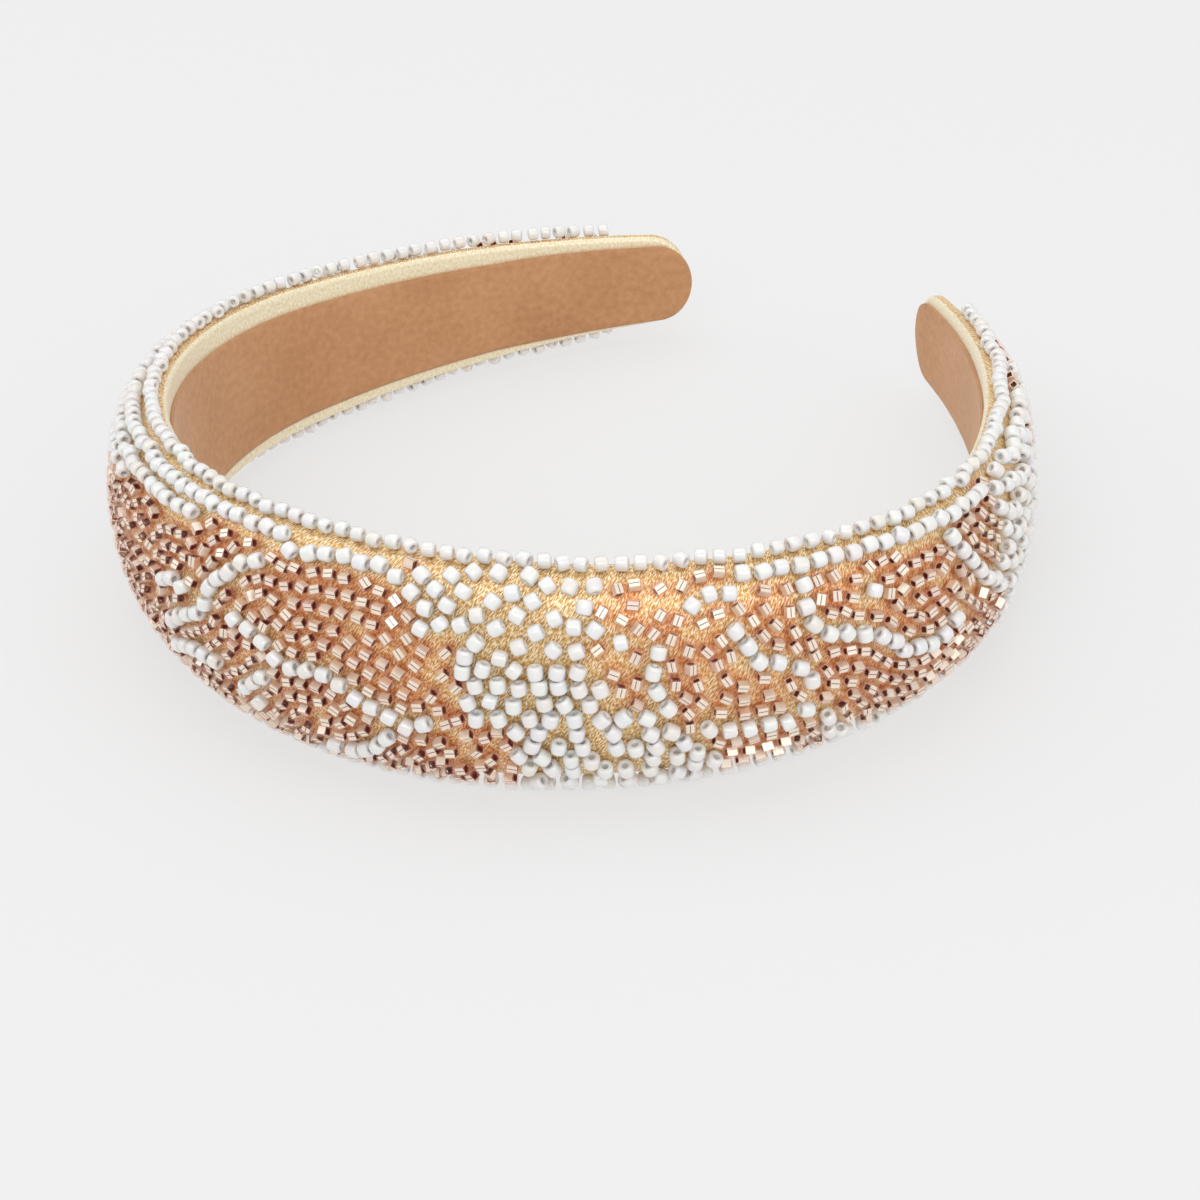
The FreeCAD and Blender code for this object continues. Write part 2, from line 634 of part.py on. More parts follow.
def sew_row(strewn, rng, dense, pitch, name, kind=None, wander=0.12, drift=0.0, room=0.05, turned=0.0):
    """Beads one after another along a row. wander: how far each is turned from the row, as a
    spread in radians; drift: how far it strays sideways; turned: angle of the bores to the row."""
    travelled, due = 0.0, pitch * rng.uniform(0.2, 0.6)
    for (s0, q0), (s1, q1) in zip(dense, dense[1:]):
        grow = stretch(s0, q0)
        ds, dq = (s1 - s0) * grow, q1 - q0
        travelled += math.hypot(ds, dq)
        if travelled < due:
            continue
        heading = math.atan2(dq, ds)
        stray = rng.gauss(0, drift)
        s = s1 - math.sin(heading) * stray / grow
        q = q1 + math.cos(heading) * stray
        here = kind or ("pearl" if pearl_zone(s, q) else "rose")
        if strewn.sew(name(here, s, q), here, s, q, heading + turned + rng.gauss(0, wander), room):
            due = travelled + pitch * rng.uniform(0.96, 1.08)
        else:
            due = travelled + 0.3


def group_name(kind, s, q):
    """Motif that a bead on the ground belongs to."""
    if kind == "pearl":
        if s < -36:
            return "pearl_beads_left_arm"
        if s > 100:
            return "pearl_beads_right_arm"
        if s < 17:
            return "pearl_scroll_beads_left"
        return "pearl_field_beads_centre" if s < 41 or (q < -4 and s < 51) else "pearl_scroll_beads_right"
    if s < -112:
        return "rose_beads_left_tail"
    if s < -40:
        return "rose_beads_left_side"
    if s < 37:
        return "rose_beads_front_left"
    return "rose_beads_front_right" if s < 112 else "rose_beads_right_tail"


def edge_row(inward, first, last):
    """A row of s, q pairs that keeps the given distance from the upper edge."""
    return [(s, quarter(s) - inward) for s in range(first, last, 2)]


def rim_name(edge):
    return lambda kind, s, q: "%s_rim_beads_%s" % (edge, "left" if s < 0 else "right")


def sew_rims(strewn, rng):
    """One row of beads along each edge of the band; the lower one is tucked under at the front."""
    for edge, sign, front, arm in (("upper", 1, UPPER_RIM, UPPER_RIM),
                                   ("lower", -1, LOWER_RIM, UPPER_RIM)):
        stops = [s / 4.0 for s in range(int(-4 * BEAD_END), int(4 * BEAD_END))]
        row = [(s, sign * (quarter(s) - front - (arm - front) * ramp(abs(s), 80, 112))) for s in stops]
        sew_row(strewn, rng, row, 2.62, rim_name(edge), "rim", wander=0.24, drift=0.16)


def sew_field(strewn, rng):
    """Front pearl field: staggered rows of beads side by side, bores across the band."""
    for k, row in enumerate(FIELD_ROWS):
        inside = [(s + 1.35 * (k % 2), q) for s, q in curve(row) if pearl_zone(s, q)]
        sew_row(strewn, rng, inside, 2.66, group_name, "pearl", wander=0.42, drift=0.22, room=0.0,
                turned=math.pi / 2)


def scatter_beads():
    """Rim rows first, then the drawn pearl rows, the field, rows beside them, and the odd gaps."""
    rng = random.Random(11)
    strewn = Strewn()
    sew_rims(strewn, rng)
    rows = [curve(row) for row in DRAWN_ROWS]
    for inward, first, last in EDGE_ROWS:
        sew_row(strewn, rng, curve(edge_row(inward, first, last)), 2.68, group_name, "pearl",
                wander=0.3, drift=0.16, room=0.0)
    for row in rows:
        sew_row(strewn, rng, row, 2.72, group_name, "pearl", wander=0.36, drift=0.26)
    sew_field(strewn, rng)
    for step in (1, 2, 3, 4, 5):
        for side in (1, -1):
            for row in rows:
                sew_row(strewn, rng, echo(row, side * (2.45 * step + 0.1)), 2.5, group_name,
                        wander=0.22, drift=0.13, room=0.04)
    fill_gaps(strewn, rows, rng)
    return strewn.groups


def fill_gaps(strewn, rows, rng):
    """Beads in what space is left, turned like the nearest row where they fit so and some other
    way where they do not; sparser high on the front."""
    points = [(row[i][0], row[i][1], row[i + 1][0] - row[i][0], row[i + 1][1] - row[i][1])
              for row in rows for i in range(0, len(row) - 1, 8)]
    seeds = []
    s = -BEAD_END
    while s < BEAD_END:
        edge = quarter(s)
        for k in range(int(2 * edge / 0.9)):
            seeds.append((s + rng.uniform(-0.4, 0.4), -edge + 0.9 * k + rng.uniform(-0.4, 0.4)))
        s += 0.8
    rng.shuffle(seeds)
    for s, q in seeds:
        kind = "pearl" if pearl_zone(s, q) else "rose"
        airy = 12 < s < 60 and q > 7
        if airy and kind == "pearl" and rng.random() < 0.7:
            continue
        room = 0.3 if airy else (0.0 if kind == "pearl" else 0.07)
        near = min(points, key=lambda p: (p[0] - s) ** 2 + (p[1] - q) ** 2)
        turn = math.atan2(near[3], near[2]) + rng.gauss(0, 0.25)
        for offset in (0.0, 0.75, -0.75, math.pi / 2):
            if strewn.sew(group_name(kind, s, q), kind, s, q, turn + offset, room):
                break


def bead(kind):
    """One bored bead about the Z axis."""
    wide, long_, bore = KINDS[kind]
    base = V(0, 0, -long_ / 2)
    return Part.makeCylinder(wide / 2, long_, base).cut(Part.makeCylinder(bore / 2, long_, base))


def bead_groups():
    patterns = {kind: bead(kind) for kind in KINDS}
    made = []
    for name, entries in sorted(scatter_beads().items()):
        solids = []
        for kind, centre, axis in entries:
            solid = patterns[kind].copy()
            solid.Placement = FreeCAD.Placement(centre, FreeCAD.Rotation(V(0, 0, 1), axis))
            solids.append(solid)
        made.append(feature(name, Part.makeCompound(solids)))
    return made


# ------------------------------------------------------------------ assembly, checks, output
def lay_down(pieces):
    """Leans the whole band onto its lower edge and centres its footprint on the origin."""
    lean = FreeCAD.Placement(V(0, 0, 0), FreeCAD.Rotation(V(1, 0, 0), -size("lean")))
    for piece in pieces:
        piece.Placement = lean.multiply(piece.Placement)
    box = Part.makeCompound([piece.Shape for piece in pieces]).optimalBoundingBox(False, False)
    shift = V(-(box.XMin + box.XMax) / 2, -(box.YMin + box.YMax) / 2, -box.ZMin)
    move = FreeCAD.Placement(shift, FreeCAD.Rotation())
    for piece in pieces:
        piece.Placement = move.multiply(piece.Placement)
    print("shift", [round(c, 3) for c in shift])


def main():
    pieces = [core_band(), foam_tape(), foam_pad(), embroidery_backing(), satin_cover(),
              lining_adhesive(), suede_lining()]
    pieces += bead_groups()
    doc.recompute()
    lay_down(pieces)
    doc.recompute()
    for obj in doc.Objects:
        if "Invalid" in obj.State or "Error" in obj.State:
            raise RuntimeError("failed object: " + obj.Name)
    os.makedirs("parts", exist_ok=True)
    for piece in pieces:
        shape = piece.Shape
        if shape.isNull() or not shape.isValid():
            raise RuntimeError("bad shape: " + piece.Label)
        shape.exportStep("parts/%s.step" % piece.Label)
        print(piece.Label, len(shape.Solids), round(shape.Volume, 1))
    box = Part.makeCompound([piece.Shape for piece in pieces]).BoundBox
    print("size", round(box.XLength, 2), round(box.YLength, 2), round(box.ZLength, 2), box)


main()
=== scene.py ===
import math
import random

import bpy
import numpy as np
from mathutils import Matrix, Vector, noise


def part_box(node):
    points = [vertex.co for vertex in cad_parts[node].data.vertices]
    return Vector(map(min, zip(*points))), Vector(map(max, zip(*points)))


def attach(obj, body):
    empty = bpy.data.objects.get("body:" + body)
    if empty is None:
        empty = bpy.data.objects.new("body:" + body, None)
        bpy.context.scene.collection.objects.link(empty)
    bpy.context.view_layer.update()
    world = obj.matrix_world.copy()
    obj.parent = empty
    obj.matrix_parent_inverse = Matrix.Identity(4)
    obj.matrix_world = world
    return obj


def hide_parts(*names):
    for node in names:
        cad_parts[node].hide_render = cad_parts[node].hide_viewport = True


# Looks of the padded, beaded headband. Lengths in the band's own layout are millimetres and become
# metres in in_row(). s runs along the band from the front centre, n outward from the inner face,
# z across the band.

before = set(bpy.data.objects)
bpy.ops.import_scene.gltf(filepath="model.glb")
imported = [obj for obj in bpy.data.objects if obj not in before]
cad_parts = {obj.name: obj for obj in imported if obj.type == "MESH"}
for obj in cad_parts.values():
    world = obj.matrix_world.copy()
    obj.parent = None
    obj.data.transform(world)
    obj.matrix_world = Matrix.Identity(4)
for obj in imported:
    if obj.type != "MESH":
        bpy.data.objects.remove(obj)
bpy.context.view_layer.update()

# ------------------------------------------------------------------ layout of the band
# Inner face in plan: radius and sweep of its four arcs on each side, from the front centre.
RADII = (72.0, 62.0, 50.0, 117.0)
SWEEPS = tuple(math.radians(a) for a in (31.3, 37.4, 37.3, 36.3))
LENGTH = sum(r * a for r, a in zip(RADII, SWEEPS))
# Half width, and height of the satin above the core, at five even stations from centre to tip.
WIDTHS = (18.0, 16.7, 14.3, 11.6, 8.0)
CROWNS = (8.35, 8.05, 6.15, 4.55, 2.25)
LEAN = math.radians(-3.6)
# n of the satin's inner face and of the front of the core.
LINING = 0.6
CORE_FRONT = 2.15
BEAD_END = LENGTH - 13.5
HEM = 7.0
EDGE_ROUND = 0.9
COVER_TIP = 6.5
LINING_TIP = 6.0
LINING_PAST_TIP = 0.6
LINING_DROP = 0.5


def smooth(values, u):
    """Value at u from 0 to 1 on a curve through evenly spaced values, with no overshoot."""
    last = len(values) - 1
    steps = [values[i + 1] - values[i] for i in range(last)]
    slopes = [0.0]
    for i in range(1, last):
        product = steps[i - 1] * steps[i]
        slopes.append(2.0 * product / (steps[i - 1] + steps[i]) if product > 0 else 0.0)
    slopes.append(steps[-1])
    k = min(int(u * last), last - 1)
    t = u * last - k
    return (values[k] * (1 + 2 * t) * (1 - t) ** 2 + slopes[k] * t * (1 - t) ** 2
            + values[k + 1] * t * t * (3 - 2 * t) + slopes[k + 1] * t * t * (t - 1))


def half_width(s):
    return smooth(WIDTHS, min(abs(s) / LENGTH, 1.0))


def crown(s):
    return smooth(CROWNS, min(abs(s) / LENGTH, 1.0))


def path(s):
    """Point x, y of the inner face in plan, and the heading of the band there."""
    x, y, heading, left = 0.0, 0.0, 0.0, abs(s)
    for radius, sweep in zip(RADII, SWEEPS):
        turn = min(left / radius, sweep)
        x += radius * (math.sin(heading + turn) - math.sin(heading))
        y += radius * (math.cos(heading) - math.cos(heading + turn))
        heading += turn
        left -= radius * turn
        if left <= 1e-9:
            break
    x += left * math.cos(heading)
    y += left * math.sin(heading)
    return (x, y, heading) if s >= 0 else (-x, y, -heading)


def layout_shift():
    """Where the band's layout sits in the row frame, mm: read off the satin cover's own box."""
    low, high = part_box("satin_cover")
    wide, deep = WIDTHS[0], CROWNS[0]
    c, k = math.cos(LEAN), -math.sin(LEAN)
    front = CORE_FRONT * c + math.hypot(deep * c, wide * k)
    top = CORE_FRONT * k + math.hypot(deep * k, wide * c)
    return (500 * (low.x + high.x), 1000 * low.y + front, 1000 * high.z - top)


def in_row(x, y, z):
    """Band layout point, mm, to row frame, metres."""
    return Vector((x + SHIFT[0], y * math.cos(LEAN) - z * math.sin(LEAN) + SHIFT[1],
                   y * math.sin(LEAN) + z * math.cos(LEAN) + SHIFT[2])) * 0.001


def place(s, n, z):
    """Row frame point of a place on or off the band."""
    x, y, heading = path(s)
    return in_row(x + math.sin(heading) * n, y - math.cos(heading) * n, z)


SHIFT = layout_shift()


# ------------------------------------------------------------------ material helpers
def material(name):
    """New material with its nodes, its links and its one shader."""
    mat = bpy.data.materials.new(name)
    mat.use_nodes = True
    nodes = mat.node_tree.nodes
    return mat, nodes, mat.node_tree.links, nodes["Principled BSDF"]


def node(nodes, kind, **settings):
    """New shader node with its settings."""
    made = nodes.new(kind)
    for key, value in settings.items():
        setattr(made, key, value)
    return made


def ramp(nodes, links, source, stops):
    """Colour ramp fed by a socket; stops are (position, colour) pairs."""
    made = nodes.new("ShaderNodeValToRGB")
    made.color_ramp.elements[0].position, made.color_ramp.elements[0].color = stops[0]
    made.color_ramp.elements[1].position, made.color_ramp.elements[1].color = stops[-1]
    for position, colour in stops[1:-1]:
        made.color_ramp.elements.new(position).color = colour
    links.new(source, made.inputs["Fac"])
    return made


def satin_material():
    """Gold lame satin: fine diagonal metal threads that glint one by one, partly through their gloss and
    partly through a painted glint in their brightest colour.
    """
    mat, nodes, links, shader = material("gold_satin_cloth")
    uv = node(nodes, "ShaderNodeUVMap", uv_map="UVMap")
    turn = node(nodes, "ShaderNodeMapping")
    turn.inputs["Rotation"].default_value = (0, 0, math.radians(-118))
    links.new(uv.outputs["UV"], turn.inputs["Vector"])
    stretch = node(nodes, "ShaderNodeMapping")
    stretch.inputs["Scale"].default_value = (1500.0, 5000.0, 1.0)
    links.new(turn.outputs["Vector"], stretch.inputs["Vector"])
    thread = node(nodes, "ShaderNodeTexNoise")
    thread.inputs["Scale"].default_value = 1.0
    thread.inputs["Detail"].default_value = 2.0
    links.new(stretch.outputs["Vector"], thread.inputs["Vector"])
    # Thread colour from dark to pale gold; the near-white top stop is a painted glint.
    glint = ramp(nodes, links, thread.outputs["Fac"], [
        (0.40, (0.55, 0.28, 0.09, 1)), (0.47, (0.79, 0.48, 0.17, 1)),
        (0.53, (0.89, 0.61, 0.28, 1)), (0.60, (1.0, 0.95, 0.75, 1))])
    # Painted rose-tinted shade: the satin is darkened to rose-orange where rose glass lies near it.
    painted_rose_shade = node(nodes, "ShaderNodeAttribute", attribute_name="painted_rose_shade")
    painted_rose_shade_mix = node(nodes, "ShaderNodeMix", data_type="RGBA", blend_type="MULTIPLY")
    links.new(painted_rose_shade.outputs["Fac"], painted_rose_shade_mix.inputs["Factor"])
    links.new(glint.outputs["Color"], painted_rose_shade_mix.inputs[6])
    painted_rose_shade_mix.inputs[7].default_value = (0.88, 0.41, 0.25, 1)
    links.new(painted_rose_shade_mix.outputs[2], shader.inputs["Base Color"])
    shader.inputs["Metallic"].default_value = 0.45
    rough = node(nodes, "ShaderNodeMapRange")
    rough.inputs["To Min"].default_value = 0.55
    rough.inputs["To Max"].default_value = 0.22
    links.new(thread.outputs["Fac"], rough.inputs["Value"])
    links.new(rough.outputs["Result"], shader.inputs["Roughness"])
    bump = node(nodes, "ShaderNodeBump")
    bump.inputs["Strength"].default_value = 0.55
    bump.inputs["Distance"].default_value = 0.00018
    links.new(thread.outputs["Fac"], bump.inputs["Height"])
    links.new(bump.outputs["Normal"], shader.inputs["Normal"])
    return mat


def rim_material():
    """The same satin seen on its smooth, pale wrong-way grain round the edge."""
    mat, nodes, links, shader = material("gold_satin_rim")
    uv = node(nodes, "ShaderNodeUVMap", uv_map="UVMap")
    grain = node(nodes, "ShaderNodeMapping")
    grain.inputs["Scale"].default_value = (2200.0, 1500.0, 1.0)
    links.new(uv.outputs["UV"], grain.inputs["Vector"])
    thread = node(nodes, "ShaderNodeTexNoise")
    thread.inputs["Scale"].default_value = 1.0
    thread.inputs["Detail"].default_value = 3.0
    links.new(grain.outputs["Vector"], thread.inputs["Vector"])
    tone = ramp(nodes, links, thread.outputs["Fac"], [
        (0.30, (0.74, 0.62, 0.38, 1)), (0.50, (0.84, 0.75, 0.52, 1)), (0.70, (0.92, 0.87, 0.70, 1))])
    links.new(tone.outputs["Color"], shader.inputs["Base Color"])
    shader.inputs["Metallic"].default_value = 0.25
    shader.inputs["Roughness"].default_value = 0.42
    shader.inputs["Sheen Weight"].default_value = 0.3
    bump = node(nodes, "ShaderNodeBump")
    bump.inputs["Strength"].default_value = 0.2
    bump.inputs["Distance"].default_value = 0.00008
    links.new(thread.outputs["Fac"], bump.inputs["Height"])
    links.new(bump.outputs["Normal"], shader.inputs["Normal"])
    return mat


def suede_material():
    """Tan microsuede: short nap, cloudy where it has been brushed both ways."""
    mat, nodes, links, shader = material("tan_suede")
    uv = node(nodes, "ShaderNodeUVMap", uv_map="UVMap")
    cloud = node(nodes, "ShaderNodeTexNoise")
    cloud.inputs["Scale"].default_value = 5.0
    cloud.inputs["Detail"].default_value = 6.0
    links.new(uv.outputs["UV"], cloud.inputs["Vector"])
    fine = node(nodes, "ShaderNodeTexNoise")
    fine.inputs["Scale"].default_value = 75.0
    fine.inputs["Detail"].default_value = 3.0
    links.new(uv.outputs["UV"], fine.inputs["Vector"])
    mix = node(nodes, "ShaderNodeMix", data_type="FLOAT")
    mix.inputs["Factor"].default_value = 0.5
    links.new(cloud.outputs["Fac"], mix.inputs[2])
    links.new(fine.outputs["Fac"], mix.inputs[3])
    tone = ramp(nodes, links, mix.outputs[0], [
        (0.34, (0.42, 0.200, 0.085, 1)), (0.50, (0.49, 0.245, 0.110, 1)), (0.66, (0.555, 0.295, 0.145, 1))])
    links.new(tone.outputs["Color"], shader.inputs["Base Color"])
    shader.inputs["Roughness"].default_value = 0.92
    shader.inputs["Sheen Weight"].default_value = 0.35
    shader.inputs["Sheen Roughness"].default_value = 0.5
    shader.inputs["Sheen Tint"].default_value = (0.95, 0.78, 0.62, 1)
    bump = node(nodes, "ShaderNodeBump")
    bump.inputs["Strength"].default_value = 0.5
    bump.inputs["Distance"].default_value = 0.00015
    links.new(fine.outputs["Fac"], bump.inputs["Height"])
    links.new(bump.outputs["Normal"], shader.inputs["Normal"])
    return mat


def pearl_material():
    """Opaque white glass with a faint rainbow lustre that differs from bead to bead."""
    mat, nodes, links, shader = material("pearl_lustre_glass")
    geometry = node(nodes, "ShaderNodeNewGeometry")
    tone = ramp(nodes, links, geometry.outputs["Random Per Island"], [
        (0.0, (0.75, 0.73, 0.685, 1)), (0.35, (0.80, 0.785, 0.755, 1)), (0.7, (0.76, 0.775, 0.77, 1)),
        (1.0, (0.79, 0.745, 0.725, 1))])
    links.new(tone.outputs["Color"], shader.inputs["Base Color"])
    shader.inputs["Roughness"].default_value = 0.16
    shader.inputs["IOR"].default_value = 1.52
    shader.inputs["Subsurface Weight"].default_value = 0.3
    shader.inputs["Subsurface Radius"].default_value = (1.0, 0.92, 0.85)
    shader.inputs["Subsurface Scale"].default_value = 0.0007
    shader.inputs["Coat Weight"].default_value = 1.0
    shader.inputs["Coat Roughness"].default_value = 0.05
    shader.inputs["Thin Film IOR"].default_value = 1.6
    film = node(nodes, "ShaderNodeMapRange")
    film.inputs["To Min"].default_value = 280.0
    film.inputs["To Max"].default_value = 620.0
    links.new(geometry.outputs["Random Per Island"], film.inputs["Value"])
    links.new(film.outputs["Result"], shader.inputs["Thin Film Thickness"])
    return mat


def rose_material():
    """Clear peach-rose glass wall of a silver-lined bead."""
    mat, nodes, links, shader = material("rose_glass")
    geometry = node(nodes, "ShaderNodeNewGeometry")
    tone = ramp(nodes, links, geometry.outputs["Random Per Island"], [
        (0.0, (0.97, 0.56, 0.36, 1)), (0.5, (1.0, 0.68, 0.48, 1)), (1.0, (0.93, 0.45, 0.32, 1))])
    links.new(tone.outputs["Color"], shader.inputs["Base Color"])
    shader.inputs["Alpha"].default_value = 0.19
    shader.inputs["Roughness"].default_value = 0.06
    shader.inputs["IOR"].default_value = 1.7
    shader.inputs["Coat Weight"].default_value = 1.0
    shader.inputs["Coat Roughness"].default_value = 0.03
    return mat


def silver_material():
    """Pale silver foil inside a rose bead."""
    mat, _, _, shader = material("silver_lining")
    shader.inputs["Base Color"].default_value = (0.95, 0.92, 0.82, 1)
    shader.inputs["Metallic"].default_value = 0.75
    shader.inputs["Roughness"].default_value = 0.34
    return mat


def bore_shade_material():
    """Painted shade: dark rose on the inside of the deep bore where it shows at the bead's ends."""
    mat, _, _, shader = material("painted_bore_shade")
    shader.inputs["Base Color"].default_value = (0.24, 0.045, 0.03, 1)
    shader.inputs["Roughness"].default_value = 0.35
    return mat


def bore_shadow_strip_material():
    """Painted shadow: dark line of the thread bore's shadow along a silver lining."""
    mat, _, _, shader = material("painted_bore_shadow_strip")
    shader.inputs["Base Color"].default_value = (0.07, 0.06, 0.055, 1)
    shader.inputs["Roughness"].default_value = 0.4
    return mat


# ------------------------------------------------------------------ meshes
def mesh_object(name, verts, faces, mats, face_mats=None, uvs=None):
    """Smooth-shaded mesh that rides on the band; uvs holds one pair per vertex."""
    mesh = bpy.data.meshes.new(name)
    mesh.from_pydata([tuple(v) for v in verts], [], faces)
    for mat in mats:
        mesh.materials.append(mat)
    if face_mats is not None:
        mesh.polygons.foreach_set("material_index", face_mats)
    mesh.polygons.foreach_set("use_smooth", [True] * len(mesh.polygons))
    if uvs is not None:
        layer = mesh.uv_layers.new(name="UVMap")
        loops = np.zeros(len(mesh.loops), np.int32)
        mesh.loops.foreach_get("vertex_index", loops)
        layer.data.foreach_set("uv", np.asarray(uvs, float)[loops].ravel())
    mesh.update()
    obj = bpy.data.objects.new(name, mesh)
    bpy.context.scene.collection.objects.link(obj)
    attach(obj, "root")
    return obj


def grid_faces(rows, columns, wrap_columns=False):
    """Quads of a grid of points stored row by row."""
    faces = []
    last = columns if wrap_columns else columns - 1
    for i in range(rows - 1):
        for j in range(last):
            k = (j + 1) % columns
            faces.append((i * columns + j, i * columns + k, (i + 1) * columns + k, (i + 1) * columns + j))
    return faces


def stations(step, reach, tip):
    """Arc lengths from tip to tip, closer together where the tips round off."""
    straight = reach - tip
    even_step = straight * 2 / round(2 * straight / step)
    middle = list(np.arange(-straight, straight + 1e-6, even_step))
    curve = [straight + tip * math.sin(a) for a in np.linspace(0, math.pi / 2, 14)[1:]]
    return [-c for c in reversed(curve)] + middle + curve


def rounding(s, reach, tip):
    """Share of the full width that is left at s, falling along a quarter circle at each tip."""
    over = (abs(s) - (reach - tip)) / tip
    return math.sqrt(max(1.0 - over * over, 0.0)) if over > 0 else 1.0


def cover_outline(s):
    """Points (n, z, material) round the satin, from the upper hem over the crown to the lower hem."""
    shrink = rounding(s, LENGTH, COVER_TIP)
    wide = half_width(s) * shrink
    deep = crown(s) * (0.35 + 0.65 * shrink)
    round_ = min(EDGE_ROUND, wide)
    hem = min(HEM, wide)
    upper = [(LINING, wide - hem, 1), (LINING, wide - round_ - 0.55 * (hem - round_), 1)]
    upper += [(LINING, wide - round_ - k * (hem - round_) * 0.12, 1) for k in (3, 2, 1)]
    upper += [(LINING + round_ * (1 - math.cos(a)), wide - round_ + round_ * math.sin(a), int(a < 1.2))
              for a in np.linspace(0, math.pi / 2, 7)]
    front = [(CORE_FRONT + deep * math.sin(a), wide * math.cos(a), 0) for a in np.linspace(0.0, math.pi, 65)]
    lower = [(n, -z, m) for n, z, m in reversed(upper)]
    return upper + front + lower


def painted_rose_shade(verts, found):
    """How strongly the painted rose-tinted shade, light and shade coloured by the rose glass, falls on the
    satin
    at each point: 0 away from it, 1 among it. The painted shade fades over the reach, counted in mm from
    about a bead's own radius."""
    reach, own_radius = 1.35, 1.0
    rose = np.array([bead[0] for name, beads in found.items() if "rose" in name for bead in beads])
    shares = []
    for vert in verts:
        away = ((rose - np.array(vert)) ** 2).sum(1) * 1e6 - own_radius ** 2
        shares.append(min(0.95 * np.exp(-away / reach ** 2).sum(), 1.0))
    return shares


def build_cover(mats, found):
    """Satin from hem to hem, softly rucked, in one skin over the padding it hides."""
    verts, uvs, marks = [], [], []
    stops = stations(0.9, LENGTH, COVER_TIP)
    fine_ruck, broad_ruck, rim_swell = 0.10, 0.22, 0.16
    for s in stops:
        run, previous = 0.0, None
        slack = 1.0 if abs(s) > BEAD_END - 4 else 0.25
        for n, z, mark in cover_outline(s):
            if previous:
                run += math.hypot(n - previous[0], z - previous[1])
            previous = (n, z)
            ruck = fine_ruck * noise.noise(Vector((s * 0.45, z * 0.35, n * 0.4)))
            ruck += broad_ruck * noise.noise(Vector((s * 0.11, z * 0.16, 7.0))) * slack
            edge = max(0.0, 1 - abs(n - 1.4) / 1.2) * (1 if abs(z) > half_width(s) * 0.7 else 0)
            swell = edge * rim_swell * noise.noise(Vector((s * 0.7, 3.0 if z > 0 else 9.0, 0.0)))
            verts.append(place(s, n + ruck * (0.3 if mark else 1.0), z + math.copysign(swell, z)))
            uvs.append((s * 0.001, run * 0.001))
            marks.append(mark)
    columns = len(cover_outline(0))
    faces = grid_faces(len(stops), columns)
    face_mats = [marks[f[0]] for f in faces]
    obj = mesh_object("satin_cover_cloth", verts, faces, mats, face_mats, uvs)
    # Each point's share of the painted rose-tinted shade.
    share = obj.data.attributes.new("painted_rose_shade", "FLOAT", "POINT")
    share.data.foreach_set("value", painted_rose_shade(verts, found))
    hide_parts("satin_cover", "foam_pad", "embroidery_backing", "foam_tape", "core_band",
                "lining_adhesive")
    return obj


def lining_half(s):
    """Half width of the suede: a gold rim is left beside it, narrow again at the tips."""
    u = min(abs(s) / LENGTH, 1.0)
    rim = 2.2 + 1.0 * math.sin(math.pi * min(u * 1.15, 1.0)) - 1.3 * max(u - 0.8, 0) / 0.2
    return half_width(s) - rim


def build_lining(mat):
    """Suede ribbon with a soft edge, carried a little past both tips and turned up there."""
    reach = LENGTH + LINING_PAST_TIP
    verts, uvs = [], []
    stops = stations(1.1, reach, LINING_TIP)
    across = list(np.linspace(-1, 1, 25))
    for s in stops:
        wide = lining_half(s) * rounding(s, reach, LINING_TIP)
        bend = max(0.0, (abs(s) - (LENGTH - 3.0)) / 3.6)
        lift = 0.35 * bend * bend
        ring = []
        for t in across:
            dome = 0.10 * (1 - abs(t) ** 6)
            fuzz = 0.05 * noise.noise(Vector((s * 0.5, t * wide * 0.5, 2.0)))
            ring.append((lift - dome + 0.08 - fuzz, t * wide))
        ring += [(lift + 0.34, wide + 0.02), (lift + 0.62, wide - 0.10),
                 (lift + 0.62, -wide + 0.10), (lift + 0.34, -wide - 0.02)]
        for n, z in ring:
            verts.append(place(s, n, z - LINING_DROP))
            uvs.append((s * 0.01, z * 0.01))
    columns = len(across) + 4
    faces = grid_faces(len(stops), columns, True)
    obj = mesh_object("suede_lining_ribbon", verts, faces, [mat], None, uvs)
    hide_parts("suede_lining")
    return obj


# ------------------------------------------------------------------ beads
def loose_parts(obj):
    """Centre and bore axis of every bead in a node: its points spread widest along one of its own
    axes, across the other two they spread alike."""
    mesh = obj.data
    co = np.zeros(len(mesh.vertices) * 3)
    mesh.vertices.foreach_get("co", co)
    keys, index = np.unique(np.round(co.reshape(-1, 3) * 1e6).astype(np.int64), axis=0, return_inverse=True)
    index = index.ravel()
    parent = list(range(len(keys)))

    def find(i):
        while parent[i] != i:
            parent[i] = parent[parent[i]]
            i = parent[i]
        return i

    loops = np.zeros(len(mesh.loops), np.int64)
    mesh.loops.foreach_get("vertex_index", loops)
    for face in index[loops].reshape(-1, 3):
        a = find(int(face[0]))
        parent[find(int(face[1]))] = a
        parent[find(int(face[2]))] = a
    members = {}
    for i in range(len(keys)):
        members.setdefault(find(i), []).append(i)
    found = []
    for group in members.values():
        points = keys[group] * 1e-6
        centre = points.mean(0)
        vectors = np.linalg.eigh(np.cov((points - centre).T))[1]
        found.append((Vector(centre), Vector(vectors[:, 2])))
    found.sort(key=lambda bead: (round(bead[0].x, 6), round(bead[0].y, 6), round(bead[0].z, 6)))
    return found


